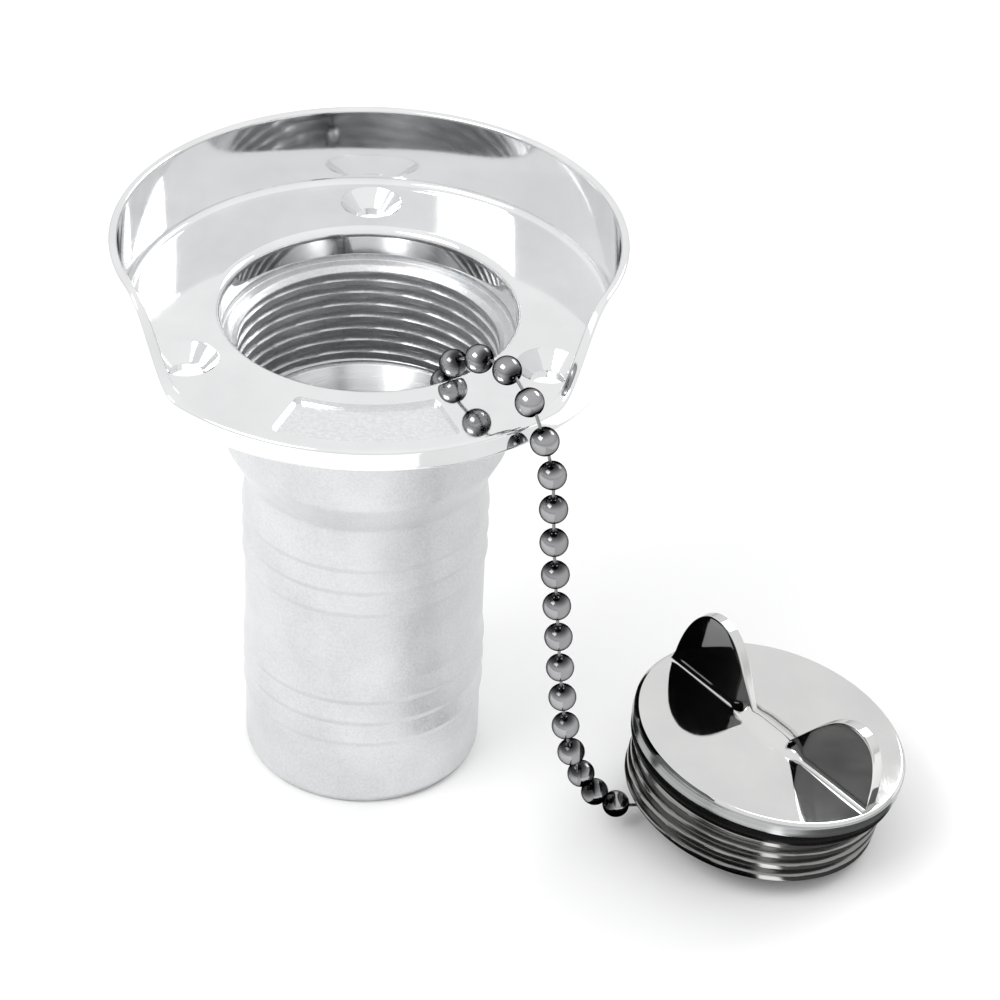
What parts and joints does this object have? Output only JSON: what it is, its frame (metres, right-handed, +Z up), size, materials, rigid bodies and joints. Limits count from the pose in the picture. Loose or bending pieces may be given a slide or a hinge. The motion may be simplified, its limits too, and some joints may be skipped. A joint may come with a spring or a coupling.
{
  "type": "deck fill cap",
  "caption": "Polished cast deck filler with a splash rim and hose neck; its winged screw cap lies beside it on a ball chain.",
  "frame": {"origin": "centre of the footprint of the filler and its cap, on the surface they stand on", "axes": "+Z up along the filler's bore, -Y to the open front of the splash rim, +X from the filler to the cap"},
  "size_m": [0.1296, 0.0838, 0.0989],
  "materials": {
    "cast_steel": "mirror polished above the deck, fine-grained as cast on the neck",
    "polished_steel": "mirror polished crown, turned side and thread",
    "black_rubber": "smooth and slightly glossy",
    "bead_steel": "bright rolled stainless",
    "link_steel": "plain drawn wire",
    "hardware": "plain stainless"
  },
  "bodies": {
    "filler": {"filler_body": "cast_steel", "anchor_screw": "hardware"},
    "anchor": {"anchor_eyelet": "hardware", "link_00": "link_steel"},
    "bead_01": {"bead_01": "bead_steel", "link_01": "link_steel"},
    "bead_02": {"bead_02": "bead_steel", "link_02": "link_steel"},
    "bead_03": {"bead_03": "bead_steel", "link_03": "link_steel"},
    "bead_04": {"bead_04": "bead_steel", "link_04": "link_steel"},
    "bead_05": {"bead_05": "bead_steel", "link_05": "link_steel"},
    "bead_06": {"bead_06": "bead_steel", "link_06": "link_steel"},
    "bead_07": {"bead_07": "bead_steel", "link_07": "link_steel"},
    "bead_08": {"bead_08": "bead_steel", "link_08": "link_steel"},
    "bead_09": {"bead_09": "bead_steel", "link_09": "link_steel"},
    "bead_10": {"bead_10": "bead_steel", "link_10": "link_steel"},
    "bead_11": {"bead_11": "bead_steel", "link_11": "link_steel"},
    "bead_12": {"bead_12": "bead_steel", "link_12": "link_steel"},
    "bead_13": {"bead_13": "bead_steel", "link_13": "link_steel"},
    "bead_14": {"bead_14": "bead_steel", "link_14": "link_steel"},
    "bead_15": {"bead_15": "bead_steel", "link_15": "link_steel"},
    "bead_16": {"bead_16": "bead_steel", "link_16": "link_steel"},
    "bead_17": {"bead_17": "bead_steel", "link_17": "link_steel"},
    "bead_18": {"bead_18": "bead_steel", "link_18": "link_steel"},
    "bead_19": {"bead_19": "bead_steel", "link_19": "link_steel"},
    "bead_20": {"bead_20": "bead_steel", "link_20": "link_steel"},
    "bead_21": {"bead_21": "bead_steel", "link_21": "link_steel"},
    "bead_22": {"bead_22": "bead_steel", "link_22": "link_steel"},
    "bead_23": {"bead_23": "bead_steel", "link_23": "link_steel"},
    "bead_24": {"bead_24": "bead_steel", "link_24": "link_steel"},
    "coupling": {"cap_eyelet": "hardware"},
    "cap": {"cap": "polished_steel", "o_ring": "black_rubber", "swivel_screw": "hardware", "swivel_washer": "hardware"}
  },
  "joints": [
    {"name": "anchor_swivel", "type": "hinge", "parent": "filler", "child": "anchor", "pos_m": [-0.01427, -0.01213, 0.053], "axis": [-0.6018, 0.7986, 0], "range_deg": [-3, 7]},
    {"name": "bead_01_bend", "type": "hinge", "parent": "anchor", "child": "bead_01", "pos_m": [-0.01595, -0.00979, 0.06176], "axis": [0.7749, 0.6319, -0.0162], "range_deg": [-6, 0]},
    {"name": "bead_02_bend", "type": "hinge", "parent": "bead_01", "child": "bead_02", "pos_m": [-0.01501, -0.01074, 0.06803], "axis": [0.6147, -0.7591, -0.2141], "range_deg": [-13, 3]},
    {"name": "bead_03_bend", "type": "hinge", "parent": "bead_02", "child": "bead_03", "pos_m": [-0.01422, -0.01171, 0.07432], "axis": [-0.7867, -0.6146, -0.0584], "range_deg": [0, 18]},
    {"name": "bead_04_bend", "type": "hinge", "parent": "bead_03", "child": "bead_04", "pos_m": [-0.01338, -0.01356, 0.08042], "axis": [-0.5694, 0.7032, 0.4257], "range_deg": [-7, 18]},
    {"name": "bead_05_bend", "type": "hinge", "parent": "bead_04", "child": "bead_05", "pos_m": [-0.01268, -0.01632, 0.08628], "axis": [0.7988, 0.6003, 0.0382], "range_deg": [-18, 7]},
    {"name": "bead_06_bend", "type": "hinge", "parent": "bead_05", "child": "bead_06", "pos_m": [-0.00946, -0.01998, 0.09051], "axis": [0.2364, -0.2919, -0.9268], "range_deg": [-18, 18]},
    {"name": "bead_07_bend", "type": "hinge", "parent": "bead_06", "child": "bead_07", "pos_m": [-0.00543, -0.02461, 0.09269], "axis": [-0.8055, -0.5925, 0.0037], "range_deg": [-10, 18]},
    {"name": "bead_08_bend", "type": "hinge", "parent": "bead_07", "child": "bead_08", "pos_m": [-0.00192, -0.03012, 0.0917], "axis": [0.4153, -0.5129, 0.7513], "range_deg": [-18, 13]},
    {"name": "bead_09_bend", "type": "hinge", "parent": "bead_08", "child": "bead_09", "pos_m": [0.00086, -0.03292, 0.08666], "axis": [0.7386, 0.6573, 0.1495], "range_deg": [-18, 18]},
    {"name": "bead_10_bend", "type": "hinge", "parent": "bead_09", "child": "bead_10", "pos_m": [0.00261, -0.03302, 0.08049], "axis": [-0.6279, 0.7754, -0.0675], "range_deg": [-18, 18]},
    {"name": "bead_11_bend", "type": "hinge", "parent": "bead_10", "child": "bead_11", "pos_m": [0.0033, -0.0328, 0.07413], "axis": [-0.774, -0.6281, -0.0798], "range_deg": [-18, 18]},
    {"name": "bead_12_bend", "type": "hinge", "parent": "bead_11", "child": "bead_12", "pos_m": [0.00368, -0.03254, 0.06774], "axis": [0.6293, -0.7771, 0.0034], "range_deg": [-18, 18]},
    {"name": "bead_13_bend", "type": "hinge", "parent": "bead_12", "child": "bead_13", "pos_m": [0.00417, -0.03218, 0.06135], "axis": [0.7726, 0.626, 0.1054], "range_deg": [-18, 18]},
    {"name": "bead_14_bend", "type": "hinge", "parent": "bead_13", "child": "bead_14", "pos_m": [0.00472, -0.03175, 0.05496], "axis": [-0.6293, 0.7771, -0.0022], "range_deg": [-18, 18]},
    {"name": "bead_15_bend", "type": "hinge", "parent": "bead_14", "child": "bead_15", "pos_m": [0.00529, -0.0313, 0.04858], "axis": [-0.7719, -0.6259, -0.1118], "range_deg": [-18, 18]},
    {"name": "bead_16_bend", "type": "hinge", "parent": "bead_15", "child": "bead_16", "pos_m": [0.00585, -0.03091, 0.04218], "axis": [0.6293, -0.7771, 0.0092], "range_deg": [-18, 18]},
    {"name": "bead_17_bend", "type": "hinge", "parent": "bead_16", "child": "bead_17", "pos_m": [0.00651, -0.03046, 0.0358], "axis": [0.7678, 0.6233, 0.1483], "range_deg": [-18, 18]},
    {"name": "bead_18_bend", "type": "hinge", "parent": "bead_17", "child": "bead_18", "pos_m": [0.00727, -0.0299, 0.02944], "axis": [-0.6293, 0.7771, -0.0062], "range_deg": [-18, 18]},
    {"name": "bead_19_bend", "type": "hinge", "parent": "bead_18", "child": "bead_19", "pos_m": [0.00833, -0.0291, 0.02314], "axis": [-0.7353, -0.5978, -0.3194], "range_deg": [-18, 18]},
    {"name": "bead_20_bend", "type": "hinge", "parent": "bead_19", "child": "bead_20", "pos_m": [0.01008, -0.02769, 0.01713], "axis": [0.6293, -0.7771, 0.0147], "range_deg": [-18, 18]},
    {"name": "bead_21_bend", "type": "hinge", "parent": "bead_20", "child": "bead_21", "pos_m": [0.01236, -0.02589, 0.01139], "axis": [0.5901, 0.5387, 0.6013], "range_deg": [-18, 18]},
    {"name": "bead_22_bend", "type": "hinge", "parent": "bead_21", "child": "bead_22", "pos_m": [0.01555, -0.02364, 0.00606], "axis": [-0.5459, 0.6742, -0.4975], "range_deg": [-7, 18]},
    {"name": "bead_23_bend", "type": "hinge", "parent": "bead_22", "child": "bead_23", "pos_m": [0.02145, -0.02159, 0.00386], "axis": [0.0839, -0.8402, 0.5358], "range_deg": [-18, 12]},
    {"name": "bead_24_bend", "type": "hinge", "parent": "bead_23", "child": "bead_24", "pos_m": [0.02682, -0.02012, 0.00694], "axis": [-0.5921, 0.7312, 0.3387], "range_deg": [-7, 18]},
    {"name": "coupling_bend", "type": "hinge", "parent": "bead_24", "child": "coupling", "pos_m": [0.03055, -0.01885, 0.0123], "axis": [0, -1, 0], "range_deg": [-18, 2]},
    {"name": "cap_swivel", "type": "hinge", "parent": "coupling", "child": "cap", "pos_m": [0.04099, -0.01885, 0.01098], "axis": [0.1822, 0, 0.9833], "continuous": true}
  ]
}
